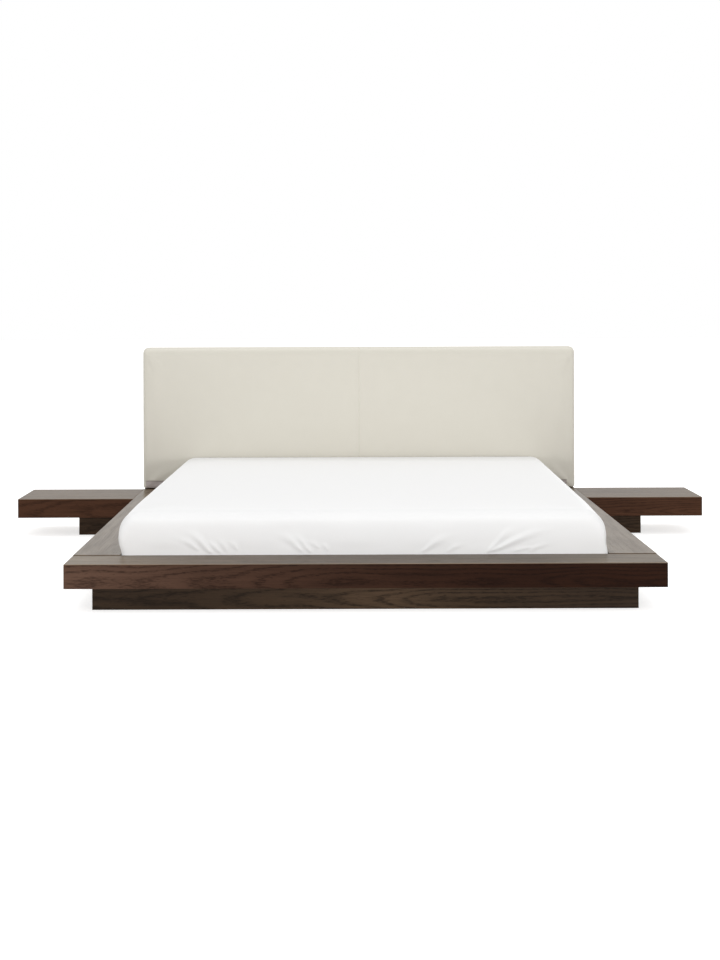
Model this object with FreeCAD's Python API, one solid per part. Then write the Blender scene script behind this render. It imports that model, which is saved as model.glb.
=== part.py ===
import FreeCAD, Part
import math
import os

# Low platform bed with a padded headboard, two attached bedside shelves and a sprung slat base.
# Millimetres. +X is right as seen from the foot end, +Y runs from the foot end to the headboard,
# +Z is up. The origin is on the floor, under the middle of the whole bed.

# Mattress in its fitted sheet
mattress_width = 1600.0
mattress_length = 2000.0
mattress_thickness = 190.0
mattress_roll = 64.0
mattress_corner = 36.0
mattress_crown = 2.0
mattress_crown_run = 240.0
mattress_bottom_roll = 26.0
mattress_swell = 6.0
mattress_draw = 1.0
mattress_end_gap = 1.0
swell_rise_share = 0.25
swell_full_share = 0.7
sheet_thickness = 1.2
sheet_hem_width = 140.0

# Platform rails, each a panel folded into a hollow box
well_clearance = 4.0
rail_height = 80.0
side_rail_width = 156.0
foot_rail_width = 196.0
foot_rail_drop = 1.5
panel_thickness = 18.0
underside_thickness = 6.0
edge_ease = 1.5
dowel_radius = 5.0
dowel_spacing = 70.0
head_dowel_shares = (0.3, 0.7)

# Plinth under the rails
plinth_height = 80.0
plinth_setback = 80.0
plinth_rear_setback = 12.0
plinth_thickness = 18.0
corner_block_width = 40.0
corner_block_lift = 10.0
angle_leg = 30.0
angle_length = 40.0
angle_thickness = 2.0
front_angle_shares = (-0.6, 0.0, 0.6)
side_angle_shares = (0.12, 0.38, 0.64, 0.9)

# Steel brackets in the corners of the well
bracket_leg = 60.0
bracket_height = 22.0
bracket_thickness = 3.0
bracket_lift = 3.0
bracket_bolt_shares = (0.4, 0.78)

# Slat base
ledge_width = 30.0
ledge_height = 15.0
ledge_end_gap = 2.0
ledge_screw_count = 6
beam_width = 60.0
beam_height = 55.0
hanger_thickness = 3.0
hanger_reach = 40.0
hanger_cheek = 38.0
hanger_rise = 15.0
hanger_screw_share = 0.6
slat_count = 13
slat_end_clearance = 10.0
slat_width = 62.0
slat_thickness = 8.0
slat_rise = 6.0
slat_flat = 40.0
cap_wall = 3.0
cap_floor = 4.0
cap_roof = 3.6
cap_depth = 36.0
cap_end_wall = 6.0
cap_web = 16.0
cap_peg_radius = 4.0
cap_peg_length = 9.0

# Screw-adjusted feet under the centre beam
foot_place_shares = (0.3, 0.7)
foot_pad_radius = 25.0
foot_pad_height = 8.0
foot_pad_floor = 3.0
foot_stem_radius = 5.0
foot_bore_roof = 10.0
foot_retract = 18.0
insert_flange_radius = 12.0
insert_flange_height = 2.0
insert_barrel_radius = 7.5
insert_barrel_length = 18.0

# Headboard
headboard_height = 630.0
headboard_roll = 34.0
headboard_corner = 24.0
headboard_crown = 4.0
headboard_crown_run = 90.0
headboard_edge_padding = 12.0
cover_thickness = 1.6
cover_return = 35.0
seam_width = 3.0
seam_depth = 0.8
foam_thickness = 38.0
plywood_thickness = 6.0
leg_width = 90.0
leg_depth = 40.0
frame_bar_width = 60.0
stile_place_share = 0.33
back_cloth_thickness = 1.0
leg_bolt_shares = (0.25, 0.75)
leg_bolt_recess = 7.0

# Bedside shelves
shelf_width = 490.0
shelf_depth = 380.0
shelf_foot_reach = 240.0
shelf_foot_gap = 20.0
shelf_foot_setback = 62.0
shelf_bolt_shares = (0.25, 0.75)
shelf_foot_screw_shares = (0.3, 0.7)

# Fasteners
screw_radius = 2.0
screw_head_radius = 4.2
screw_head_height = 2.4
screw_bite = 13.0
bolt_radius = 4.0
bolt_head_radius = 7.5
bolt_head_height = 5.3
bolt_tail = 2.0
nut_height = 6.5
hole_clearance = 0.1
running_clearance = 0.08
slide_clearance = 0.2
soft_clearance = 0.3
cut_overrun = 5.0
roll_angles = (0, 15, 30, 45, 60, 75, 90)
hex_side_count = 6

# Heights worked out from the sizes above
platform_top = plinth_height + rail_height
ledge_top = plinth_height + ledge_height
hollow_bottom = plinth_height + underside_thickness
hollow_top = platform_top - panel_thickness
hollow_middle = (hollow_bottom + hollow_top) / 2
slat_bottom = ledge_top + cap_floor + slide_clearance
pocket_top = slat_bottom + slat_thickness + slide_clearance
cap_top = pocket_top + cap_roof
slat_crown = slat_bottom + slat_thickness + slat_rise
mattress_bottom = max(slat_crown, cap_top) + soft_clearance
beam_bottom = ledge_top - beam_height
bore_top = ledge_top - foot_bore_roof
stem_top = bore_top - slide_clearance - foot_retract
headboard_top = platform_top + headboard_height
headboard_middle = (platform_top + headboard_top) / 2

# Widths, measured from the centre plane
well_half = mattress_width / 2 + well_clearance
frame_half = well_half + side_rail_width
plinth_half = frame_half - plinth_setback
shelf_outer = frame_half + shelf_width
core_half = frame_half - headboard_edge_padding

# Places along the bed, from the foot end to the back of the headboard
well_length = mattress_length + 2 * well_clearance
head_rail_thickness = cover_thickness + soft_clearance + foam_thickness + plywood_thickness
total_length = foot_rail_width + well_length + head_rail_thickness + leg_depth + cover_thickness
foot_y = -total_length / 2
well_front = foot_y + foot_rail_width
well_rear = well_front + well_length
head_rail_rear = well_rear + head_rail_thickness
leg_rear = head_rail_rear + leg_depth
plinth_front = foot_y + plinth_setback
plinth_rear = head_rail_rear - plinth_rear_setback
shelf_front = well_rear - shelf_depth
well_middle = (well_front + well_rear) / 2
ledge_front = well_front + bracket_leg + ledge_end_gap
ledge_rear = well_rear - bracket_leg - ledge_end_gap
pocket_half = slat_width / 2 + slide_clearance
cap_half = pocket_half + cap_wall

NODES = {}


def vector(x, y, z):
    return FreeCAD.Vector(x, y, z)


def box(x0, x1, y0, y1, z0, z1):
    return Part.makeBox(x1 - x0, y1 - y0, z1 - z0, vector(x0, y0, z0))


def rod(radius, start, end):
    run = end.sub(start)
    return Part.makeCylinder(radius, run.Length, start, run)


def hex_prism(corner_radius, start, direction, height):
    """Hexagon of the given corner radius, raised along direction."""
    turn = FreeCAD.Rotation(vector(0, 0, 1), direction)
    corners = []
    for step in range(hex_side_count + 1):
        angle = 2 * math.pi * step / hex_side_count
        flat = vector(corner_radius * math.cos(angle), corner_radius * math.sin(angle), 0)
        corners.append(start.add(turn.multVec(flat)))
    face = Part.Face(Part.makePolygon(corners))
    return face.extrude(vector(*direction).normalize().multiply(height))


def along(start, direction, distance):
    return start.add(vector(*direction).normalize().multiply(distance))


def mirrored(shape):
    """The same piece on the other side of the centre plane."""
    return shape.mirror(vector(0, 0, 0), vector(1, 0, 0))


def both_sides(shapes):
    return shapes + [mirrored(shape) for shape in shapes]


def cut_all(shape, tools):
    for tool in tools:
        shape = shape.cut(tool)
    return shape


def fused(shapes):
    whole = shapes[0]
    for shape in shapes[1:]:
        whole = whole.fuse(shape)
    return whole.removeSplitter()


def add(name, shape):
    NODES[name] = shape


def add_group(name, shapes):
    NODES[name] = Part.makeCompound(shapes)


def screw(seat, direction, length):
    """Pan-head screw: its head stands on the seat, its shank runs along direction."""
    shank = rod(screw_radius, seat, along(seat, direction, length))
    head = rod(screw_head_radius, along(seat, direction, -screw_head_height), seat)
    return fused([head, shank])


def screw_hole(seat, direction, length):
    start = along(seat, direction, -cut_overrun)
    return rod(screw_radius + hole_clearance, start, along(seat, direction, length))


def bolt(seat, direction, length):
    """Hex-head bolt: its head stands on the seat, its shank runs along direction."""
    shank = rod(bolt_radius, seat, along(seat, direction, length))
    start = along(seat, direction, -bolt_head_height)
    head = hex_prism(bolt_head_radius, start, direction, bolt_head_height)
    return fused([head, shank])


def bolt_hole(seat, direction, length):
    return rod(bolt_radius + hole_clearance, seat, along(seat, direction, length))


def nut(seat, direction):
    """Hex nut that stands on the seat, with its bore along direction."""
    body = hex_prism(bolt_head_radius, seat, direction, nut_height)
    return body.cut(bolt_hole(seat, direction, nut_height))


def eased_box(x0, x1, y0, y1, z0, z1):
    """Veneered box with every edge sanded round."""
    block = box(x0, x1, y0, y1, z0, z1)
    return block.makeFillet(edge_ease, block.Edges)


def folded_box(x0, x1, y0, y1, top):
    """Rail or shelf: a panel folded into a box on the plinth's level, open below."""
    shell = eased_box(x0, x1, y0, y1, plinth_height, top)
    wall = panel_thickness
    hollow = box(x0 + wall, x1 - wall, y0 + wall, y1 - wall, plinth_height - cut_overrun, top - wall)
    return shell.cut(hollow)


def underside(x0, x1, y0, y1):
    """Thin panel let into the open bottom of a folded box."""
    wall = panel_thickness
    return box(x0 + wall, x1 - wall, y0 + wall, y1 - wall, plinth_height, hollow_bottom)


def rounded_outline(half_u, half_v, radius, to_point):
    """Closed outline of a rectangle with quarter-circle corners."""
    edges = []
    diagonal = radius * (1 - math.sqrt(0.5))
    corners = [(1, 1), (-1, 1), (-1, -1), (1, -1)]
    ends = []
    for u, v in corners:
        side = to_point(u * half_u, v * (half_v - radius))
        middle = to_point(u * (half_u - diagonal), v * (half_v - diagonal))
        level = to_point(u * (half_u - radius), v * half_v)
        ends.append((side, middle, level) if u * v > 0 else (level, middle, side))
    for index, (start, middle, end) in enumerate(ends):
        edges.append(Part.Arc(start, middle, end).toShape())
        following = ends[(index + 1) % len(ends)][0]
        edges.append(Part.LineSegment(end, following).toShape())
    return Part.Wire(edges)


def rolled_edge(top, roll, crown, crown_run):
    """Insets and heights of a soft edge that rolls over and rises to a low crown."""
    stations = []
    for angle in roll_angles:
        turn = math.radians(angle)
        inset = roll * (1 - math.cos(turn))
        stations.append((inset, top - crown - roll * (1 - math.sin(turn))))
    stations.append((roll + crown_run, top))
    return stations


def padded_form(half_u, half_v, corner, stations, to_point):
    """Soft form lofted through rounded outlines, one for each inset and height."""
    outlines = []
    for inset, height in stations:
        def place(u, v, height=height):
            return to_point(u, v, height)
        outlines.append(rounded_outline(half_u - inset, half_v - inset, corner, place))
    return Part.makeLoft(outlines, True, True)


def plinth():
    """Four boards on the floor, set back under the rails, with blocks in their corners."""
    inner = plinth_half - plinth_thickness
    front_inner = plinth_front + plinth_thickness
    rear_inner = plinth_rear - plinth_thickness
    top = plinth_height
    side = box(inner, plinth_half, front_inner, rear_inner, 0, top)
    block_x = inner - corner_block_width
    blocks = [
        box(block_x, inner, front_inner, front_inner + corner_block_width, corner_block_lift, top),
        box(block_x, inner, rear_inner - corner_block_width, rear_inner, corner_block_lift, top),
    ]
    fix = plinth_fixings(inner, front_inner, rear_inner)
    front = box(-plinth_half, plinth_half, plinth_front, front_inner, 0, top)
    add("plinth_front_board", cut_all(front, fix["front_holes"]))
    add("plinth_right_board", cut_all(side, fix["side_holes"]))
    add("plinth_left_board", mirrored(NODES["plinth_right_board"]))
    add("plinth_rear_board", box(-plinth_half, plinth_half, rear_inner, plinth_rear, 0, top))
    add_group("plinth_corner_blocks", both_sides(blocks))
    add_group("plinth_fixing_angles", fix["angles"])
    add_group("plinth_angle_screws", fix["screws"])
    return fix


def fixing_angle(corner, inward, sideways):
    """Small steel angle under a rail, against the inner face of a plinth board, and its two screws."""
    half = angle_length / 2
    down = vector(0, 0, -1)

    def plate(reach_in, drop):
        near = along(corner, sideways, -half)
        far = along(along(along(corner, sideways, half), inward, reach_in), down, drop)
        low = [min(near[i], far[i]) for i in range(3)]
        high = [max(near[i], far[i]) for i in range(3)]
        return box(low[0], high[0], low[1], high[1], low[2], high[2])

    shape = fused([plate(angle_leg, angle_thickness), plate(angle_thickness, angle_leg)])
    into_board = vector(*inward).multiply(-1)
    board_seat = along(along(corner, inward, angle_thickness), down, angle_leg / 2)
    rail_seat = along(along(corner, inward, angle_leg / 2), down, angle_thickness)
    up = vector(0, 0, 1)
    board_length = angle_thickness + screw_bite
    rail_length = angle_thickness + underside_thickness
    screws = [screw(board_seat, into_board, board_length), screw(rail_seat, up, rail_length)]
    holes = [
        screw_hole(board_seat, into_board, board_length + hole_clearance),
        screw_hole(rail_seat, up, rail_length + cut_overrun),
    ]
    return cut_all(shape, holes), screws, holes


def plinth_fixings(inner, front_inner, rear_inner):
    """Angles along the front board and both side boards, with the holes for their screws."""
    fix = {"angles": [], "screws": [], "front_holes": [], "side_holes": []}
    fix["foot_rail_holes"] = []
    fix["side_rail_holes"] = []
    for share in front_angle_shares:
        corner = vector(share * inner, front_inner, plinth_height)
        angle, screws, holes = fixing_angle(corner, vector(0, 1, 0), vector(1, 0, 0))
        fix["angles"].append(angle)
        fix["screws"] += screws
        fix["front_holes"].append(holes[0])
        fix["foot_rail_holes"].append(holes[1])
    start = well_front
    run = rear_inner - well_front
    for share in side_angle_shares:
        corner = vector(inner, start + share * run, plinth_height)
        angle, screws, holes = fixing_angle(corner, vector(-1, 0, 0), vector(0, 1, 0))
        fix["angles"] += both_sides([angle])
        fix["screws"] += both_sides(screws)
        fix["side_holes"].append(holes[0])
        fix["side_rail_holes"].append(holes[1])
    return fix


def corner_brackets():
    """Steel angle in each corner of the well, bolted to the two rails that meet there."""
    low = plinth_height + bracket_lift
    high = low + bracket_height
    middle = (low + high) / 2
    tip = well_half - bracket_leg
    length = bracket_thickness + screw_bite
    result = {"angles": [], "bolts": [], "side_holes": [], "foot_holes": [], "head_holes": []}
    ends = [(well_front, 1, "foot_holes"), (well_rear, -1, "head_holes")]
    for end, sign, key in ends:
        reach = [end, end + sign * bracket_leg]
        skin = [end, end + sign * bracket_thickness]
        cross = box(tip, well_half, min(skin), max(skin), low, high)
        run = box(well_half - bracket_thickness, well_half, min(reach), max(reach), low, high)
        angle = fused([cross, run])
        holes = []
        for share in bracket_bolt_shares:
            offset = share * bracket_leg
            side_seat = vector(well_half - bracket_thickness, end + sign * offset, middle)
            end_seat = vector(well_half - offset, end + sign * bracket_thickness, middle)
            into_end = vector(0, -sign, 0)
            result["bolts"] += both_sides([screw(side_seat, vector(1, 0, 0), length),
                                           screw(end_seat, into_end, length)])
            side_hole = screw_hole(side_seat, vector(1, 0, 0), length + hole_clearance)
            end_hole = screw_hole(end_seat, into_end, length + hole_clearance)
            result["side_holes"].append(side_hole)
            result[key] += both_sides([end_hole])
            holes += [side_hole, end_hole]
        result["angles"] += both_sides([cut_all(angle, holes)])
    return result


def dowels():
    """Wooden dowels that line the rails up at the four corners."""
    middle = (plinth_height + platform_top) / 2
    centre = (well_half + frame_half) / 2
    across = (well_rear + head_rail_rear) / 2
    pins = []
    holes = []
    for offset in (-dowel_spacing / 2, dowel_spacing / 2):
        start = vector(centre + offset, well_front - panel_thickness, middle)
        end = vector(centre + offset, well_front + panel_thickness, middle)
        pins.append(rod(dowel_radius, start, end))
        holes.append(rod(dowel_radius + hole_clearance, start, end))
    for share in head_dowel_shares:
        height = plinth_height + share * rail_height
        start = vector(well_half - panel_thickness, across, height)
        end = vector(well_half + panel_thickness, across, height)
        pins.append(rod(dowel_radius, start, end))
        holes.append(rod(dowel_radius + hole_clearance, start, end))
    return both_sides(pins), holes


def shelf_fixings():
    """Bolts through the side rail's outer wall into the shelf, with a nut inside the shelf."""
    outward = vector(1, 0, 0)
    bolts = []
    nuts = []
    holes = []
    grip = 2 * panel_thickness
    for share in shelf_bolt_shares:
        seat = vector(frame_half - panel_thickness, shelf_front + share * shelf_depth, hollow_middle)
        bolts.append(bolt(seat, outward, grip + nut_height + bolt_tail))
        nuts.append(nut(along(seat, outward, grip), outward))
        holes.append(bolt_hole(seat, outward, grip))
    return bolts, nuts, holes


def leg_fixings():
    """Bolts from the back of each headboard leg into the end of the side rail, with nuts inside."""
    forward = vector(0, -1, 0)
    centre = core_half - leg_width / 2
    seat_y = leg_rear - leg_bolt_recess
    grip = leg_depth - leg_bolt_recess + panel_thickness
    recess_radius = bolt_head_radius + slide_clearance
    bolts = []
    nuts = []
    holes = []
    for share in leg_bolt_shares:
        seat = vector(centre, seat_y, hollow_bottom + share * (hollow_top - hollow_bottom))
        bolts.append(bolt(seat, forward, grip + nut_height + bolt_tail))
        nuts.append(nut(along(seat, forward, grip), forward))
        recess = rod(recess_radius, seat, along(seat, forward, -leg_bolt_recess - cut_overrun))
        holes.append(fused([bolt_hole(seat, forward, grip), recess]))
    return bolts, nuts, holes


def hanger_screws(end, sign):
    """Screws of one beam hanger, above the beam, into the rail that carries it."""
    height = ledge_top + hanger_rise / 2
    length = hanger_thickness + screw_bite
    into_rail = vector(0, -sign, 0)
    screws = []
    holes = []
    for side in (-1, 1):
        seat = vector(side * hanger_screw_share * beam_width / 2, end + sign * hanger_thickness, height)
        screws.append(screw(seat, into_rail, length))
        holes.append(screw_hole(seat, into_rail, length + hole_clearance))
    return screws, holes


def ledge_screws():
    """Screws that hold the slat ledge to the side rail, between the slats."""
    height = plinth_height + ledge_height / 2
    length = ledge_width + screw_bite
    outward = vector(1, 0, 0)
    screws = []
    holes = []
    places = slat_places()
    gaps = list(zip(places, places[1:]))
    for step in range(ledge_screw_count):
        first, second = gaps[round(step * (len(gaps) - 1) / (ledge_screw_count - 1))]
        seat = vector(well_half - ledge_width, (first + second) / 2, height)
        screws.append(screw(seat, outward, length))
        holes.append(screw_hole(seat, outward, length + hole_clearance))
    return screws, holes


def slat_places():
    first = ledge_front + slat_end_clearance + cap_half
    last = ledge_rear - slat_end_clearance - cap_half
    pitch = (last - first) / (slat_count - 1)
    return [first + pitch * step for step in range(slat_count)]


def platform(fix):
    """Rails round the well, their undersides, dowels and corner brackets."""
    brackets = corner_brackets()
    pins, pin_holes = dowels()
    shelf_bolts, shelf_nuts, shelf_holes = shelf_fixings()
    leg_bolts, leg_nuts, leg_holes = leg_fixings()
    ledge_pins, ledge_holes = ledge_screws()
    front_screws, front_holes = hanger_screws(well_front, 1)
    rear_screws, rear_holes = hanger_screws(well_rear, -1)
    foot = folded_box(-frame_half, frame_half, foot_y, well_front, platform_top - foot_rail_drop)
    foot = cut_all(foot, brackets["foot_holes"] + both_sides(pin_holes) + front_holes)
    add("foot_rail", foot)
    foot_panel = underside(-frame_half, frame_half, foot_y, well_front)
    add("foot_rail_underside", cut_all(foot_panel, fix["foot_rail_holes"]))
    side = folded_box(well_half, frame_half, well_front, head_rail_rear, platform_top)
    side_cuts = brackets["side_holes"] + pin_holes + shelf_holes + leg_holes + ledge_holes
    side_cuts += fix["side_rail_holes"]
    add("right_side_rail", cut_all(side, side_cuts))
    add("left_side_rail", mirrored(NODES["right_side_rail"]))
    side_panel = underside(well_half, frame_half, well_front, head_rail_rear)
    add("right_rail_underside", cut_all(side_panel, fix["side_rail_holes"]))
    add("left_rail_underside", mirrored(NODES["right_rail_underside"]))
    head = eased_box(-well_half, well_half, well_rear, head_rail_rear, plinth_height, platform_top)
    add("head_rail", cut_all(head, brackets["head_holes"] + both_sides(pin_holes) + rear_holes))
    add_group("rail_dowels", pins)
    add_group("corner_brackets", brackets["angles"])
    add_group("corner_bracket_screws", brackets["bolts"])
    add_group("slat_ledge_screws", both_sides(ledge_pins))
    add_group("beam_hanger_screws", front_screws + rear_screws)
    add_group("shelf_bolts", both_sides(shelf_bolts))
    add_group("shelf_nuts", both_sides(shelf_nuts))
    add_group("headboard_bolts", both_sides(leg_bolts))
    add_group("headboard_nuts", both_sides(leg_nuts))
    return shelf_holes, leg_holes, ledge_holes, front_holes, rear_holes


def peg_hole(x, y):
    depth = cap_peg_length + slide_clearance
    top = ledge_top + cut_overrun
    return rod(cap_peg_radius + hole_clearance, vector(x, y, ledge_top - depth), vector(x, y, top))


def slat_base(ledge_holes, front_holes, rear_holes):
    """Ledges on the side rails and a centre beam, which carry two rows of sprung slats in caps."""
    places = slat_places()
    peg_x = well_half - ledge_width / 2
    ledge = box(well_half - ledge_width, well_half, ledge_front, ledge_rear, plinth_height, ledge_top)
    ledge = cut_all(ledge, ledge_holes + [peg_hole(peg_x, y) for y in places])
    add("right_slat_ledge", ledge)
    add("left_slat_ledge", mirrored(ledge))
    centre_beam(places)
    hangers = [beam_hanger(well_front, 1, front_holes), beam_hanger(well_rear, -1, rear_holes)]
    add_group("beam_hangers", hangers)
    add_group("right_slats", [slat(y) for y in places])
    add_group("left_slats", [mirrored(slat(y)) for y in places])
    add_group("right_slat_caps", [outer_cap(y) for y in places])
    add_group("left_slat_caps", [mirrored(outer_cap(y)) for y in places])
    add_group("centre_slat_caps", [centre_cap(y) for y in places])


def centre_feet_places():
    return [well_front + share * well_length for share in foot_place_shares]


def centre_beam(places):
    """Timber beam under the slats' inner ends, bored for the cap pegs and the two feet."""
    half = beam_width / 2
    front = well_front + hanger_thickness
    rear = well_rear - hanger_thickness
    beam = box(-half, half, front, rear, beam_bottom, ledge_top)
    cuts = [peg_hole(0, y) for y in places]
    barrel = insert_barrel_radius + hole_clearance
    for y in centre_feet_places():
        below = vector(0, y, beam_bottom - cut_overrun)
        cuts.append(rod(barrel, below, vector(0, y, beam_bottom + insert_barrel_length)))
        cuts.append(rod(foot_stem_radius + slide_clearance, below, vector(0, y, bore_top)))
    add("centre_beam", cut_all(beam, cuts))


def beam_hanger(end, sign, screw_holes):
    """Steel saddle that holds one end of the beam against a rail."""
    half = beam_width / 2
    outer = half + hanger_thickness
    seat = beam_bottom - hanger_thickness
    face = [end, end + sign * hanger_thickness]
    reach = [face[1], face[1] + sign * hanger_reach]
    back = box(-outer, outer, min(face), max(face), seat, ledge_top + hanger_rise)
    rest = box(-outer, outer, min(reach), max(reach), seat, beam_bottom)
    cheek = box(half, outer, min(reach), max(reach), beam_bottom, beam_bottom + hanger_cheek)
    return cut_all(fused([back, rest] + both_sides([cheek])), screw_holes)


def slat(y):
    """Sprung slat: flat ends in the caps, a low upward bow between them."""
    inner = cap_web / 2 + slide_clearance
    outer = well_half - slide_clearance - cap_end_wall - slide_clearance
    middle = (inner + outer) / 2
    low = slat_bottom
    high = low + slat_thickness
    near = y - slat_width / 2

    def point(x, z):
        return vector(x, near, z)

    def bow(x0, x1, z):
        return Part.Arc(point(x0, z), point(middle, z + slat_rise), point(x1, z)).toShape()

    def line(x0, z0, x1, z1):
        return Part.LineSegment(point(x0, z0), point(x1, z1)).toShape()

    bend_in = inner + slat_flat
    bend_out = outer - slat_flat
    outline = [
        line(inner, low, bend_in, low), bow(bend_in, bend_out, low), line(bend_out, low, outer, low),
        line(outer, low, outer, high),
        line(outer, high, bend_out, high), bow(bend_out, bend_in, high), line(bend_in, high, inner, high),
        line(inner, high, inner, low),
    ]
    return Part.Face(Part.Wire(outline)).extrude(vector(0, slat_width, 0))


def cap_peg(x, y):
    return rod(cap_peg_radius, vector(x, y, ledge_top - cap_peg_length), vector(x, y, ledge_top))


def outer_cap(y):
    """Plastic pocket for a slat's outer end, pegged into the ledge."""
    outer = well_half - slide_clearance
    pocket_end = outer - cap_end_wall
    mouth = pocket_end - cap_depth
    body = box(mouth, outer, y - cap_half, y + cap_half, ledge_top, cap_top)
    pocket = box(mouth - cut_overrun, pocket_end, y - pocket_half, y + pocket_half,
                 slat_bottom - slide_clearance, pocket_top)
    return fused([body.cut(pocket), cap_peg(well_half - ledge_width / 2, y)])


def centre_cap(y):
    """Plastic double pocket that holds a left and a right slat end on the beam."""
    web = cap_web / 2
    mouth = web + cap_depth
    body = box(-mouth, mouth, y - cap_half, y + cap_half, ledge_top, cap_top)
    pocket = box(web, mouth + cut_overrun, y - pocket_half, y + pocket_half,
                 slat_bottom - slide_clearance, pocket_top)
    return fused([cut_all(body, both_sides([pocket])), cap_peg(0, y)])


def centre_feet():
    """Threaded inserts in the beam, and the stems and pads that screw up and down in them."""
    barrel_top = beam_bottom + insert_barrel_length
    inserts = []
    for name, y in zip(("front", "rear"), centre_feet_places()):
        def upright(radius, low, high, y=y):
            return rod(radius, vector(0, y, low), vector(0, y, high))
        flange = upright(insert_flange_radius, beam_bottom - insert_flange_height, beam_bottom)
        barrel = upright(insert_barrel_radius, beam_bottom, barrel_top)
        bore = upright(foot_stem_radius + running_clearance, 0, barrel_top + cut_overrun)
        inserts.append(fused([flange, barrel]).cut(bore))
        pad = upright(foot_pad_radius, 0, foot_pad_height)
        socket = upright(foot_stem_radius, foot_pad_floor, foot_pad_height + cut_overrun)
        add(name + "_foot_stem", upright(foot_stem_radius, foot_pad_floor, stem_top))
        add(name + "_foot_pad", pad.cut(socket))
    add_group("foot_inserts", inserts)


def headboard_form(inset, back):
    """Padded block with a rolled front edge, taken in all round by inset, open to the back."""
    depth = leg_rear - well_rear - inset
    stations = [(0, -back)] + rolled_edge(depth, headboard_roll, headboard_crown, headboard_crown_run)

    def to_point(u, v, height):
        return vector(u, leg_rear - height, headboard_middle + v)

    half_height = headboard_height / 2 - inset
    return padded_form(frame_half - inset, half_height, headboard_corner, stations, to_point)


def headboard_slab(inset, near, far):
    """Flat slab of the headboard's outline, taken in all round by inset."""
    def to_point(u, v):
        return vector(u, near, headboard_middle + v)
    half_height = headboard_height / 2 - inset
    outline = rounded_outline(frame_half - inset, half_height, headboard_corner, to_point)
    return Part.Face(outline).extrude(vector(0, far - near, 0))


def headboard(leg_holes):
    """Timber frame on two legs, faced with plywood, padded with foam and covered in two sewn halves."""
    core_bottom = platform_top + headboard_edge_padding
    core_top = headboard_top - headboard_edge_padding
    bar_low = core_top - frame_bar_width
    leg_inner = core_half - leg_width
    leg = box(leg_inner, core_half, head_rail_rear, leg_rear, 0, bar_low)
    stile_x = stile_place_share * core_half
    stile = box(stile_x - frame_bar_width / 2, stile_x + frame_bar_width / 2, head_rail_rear, leg_rear,
                core_bottom + frame_bar_width, bar_low)
    top_bar = box(-core_half, core_half, head_rail_rear, leg_rear, bar_low, core_top)
    bottom_bar = box(-leg_inner, leg_inner, head_rail_rear, leg_rear,
                     core_bottom, core_bottom + frame_bar_width)
    face_front = head_rail_rear - plywood_thickness
    core = headboard_slab(headboard_edge_padding, face_front, leg_rear + cut_overrun)
    add("headboard_right_leg", cut_all(leg, leg_holes))
    add("headboard_left_leg", mirrored(NODES["headboard_right_leg"]))
    add("headboard_top_bar", top_bar.common(core))
    add("headboard_bottom_bar", bottom_bar)
    add_group("headboard_stiles", both_sides([stile]))
    add("headboard_plywood", headboard_slab(headboard_edge_padding, face_front, head_rail_rear))
    gap = soft_clearance
    leg_slot = box(leg_inner - gap, core_half + gap, head_rail_rear - gap, leg_rear,
                   platform_top - cut_overrun, core_bottom + headboard_corner)
    slots = both_sides([leg_slot])
    foam = headboard_form(cover_thickness + soft_clearance, 0)
    add("headboard_foam", cut_all(foam, [core] + slots))
    headboard_cover(slots)


def headboard_cover(slots):
    """Cover wrapped round the pad and turned in at the back, in two halves joined at a centre seam."""
    outer = headboard_form(0, 0)
    shell = outer.cut(headboard_form(cover_thickness, cut_overrun))
    cover_back = leg_rear + cover_thickness
    turned_in = headboard_slab(0, leg_rear, cover_back)
    turned_in = turned_in.cut(headboard_slab(cover_return, leg_rear, cover_back))
    groove_wall = outer.cut(headboard_form(seam_depth, cut_overrun))
    half_seam = seam_width / 2
    slab = box(-half_seam, half_seam, well_rear - cut_overrun, leg_rear, platform_top, headboard_top)
    whole = fused([shell, turned_in]).cut(groove_wall.common(slab))
    right_half = box(0, frame_half, well_rear, cover_back, platform_top, headboard_top)
    slotted = cut_all(whole, slots)
    add("headboard_cover_right", slotted.common(right_half))
    add("headboard_cover_left", slotted.common(mirrored(right_half)))
    cloth_inset = cover_return + soft_clearance
    add("headboard_back_cloth", headboard_slab(cloth_inset, leg_rear, leg_rear + back_cloth_thickness))


def bedside_shelves(shelf_holes):
    """Folded box beside the head end, level with the platform, on a set-back foot of its own."""
    shelf = folded_box(frame_half, shelf_outer, shelf_front, well_rear, platform_top)
    panel = underside(frame_half, shelf_outer, shelf_front, well_rear)
    inner = frame_half + shelf_foot_gap
    outer = frame_half + shelf_foot_reach
    front = shelf_front + shelf_foot_setback
    rear = well_rear - shelf_foot_setback
    wall = panel_thickness
    foot = box(inner, outer, front, rear, 0, plinth_height)
    foot = foot.cut(box(inner + wall, outer - wall, front + wall, rear - wall,
                        -cut_overrun, plinth_height + cut_overrun))
    down = vector(0, 0, -1)
    length = underside_thickness + screw_bite
    screws = []
    holes = []
    for y in (front + wall / 2, rear - wall / 2):
        for share in shelf_foot_screw_shares:
            seat = vector(inner + share * (outer - inner), y, hollow_bottom)
            screws.append(screw(seat, down, length))
            holes.append(screw_hole(seat, down, length + hole_clearance))
    add("right_shelf", cut_all(shelf, shelf_holes))
    add("left_shelf", mirrored(NODES["right_shelf"]))
    add("right_shelf_underside", cut_all(panel, holes))
    add("left_shelf_underside", mirrored(NODES["right_shelf_underside"]))
    add("right_shelf_foot", cut_all(foot, holes))
    add("left_shelf_foot", mirrored(NODES["right_shelf_foot"]))
    add_group("shelf_foot_screws", both_sides(screws))


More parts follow.
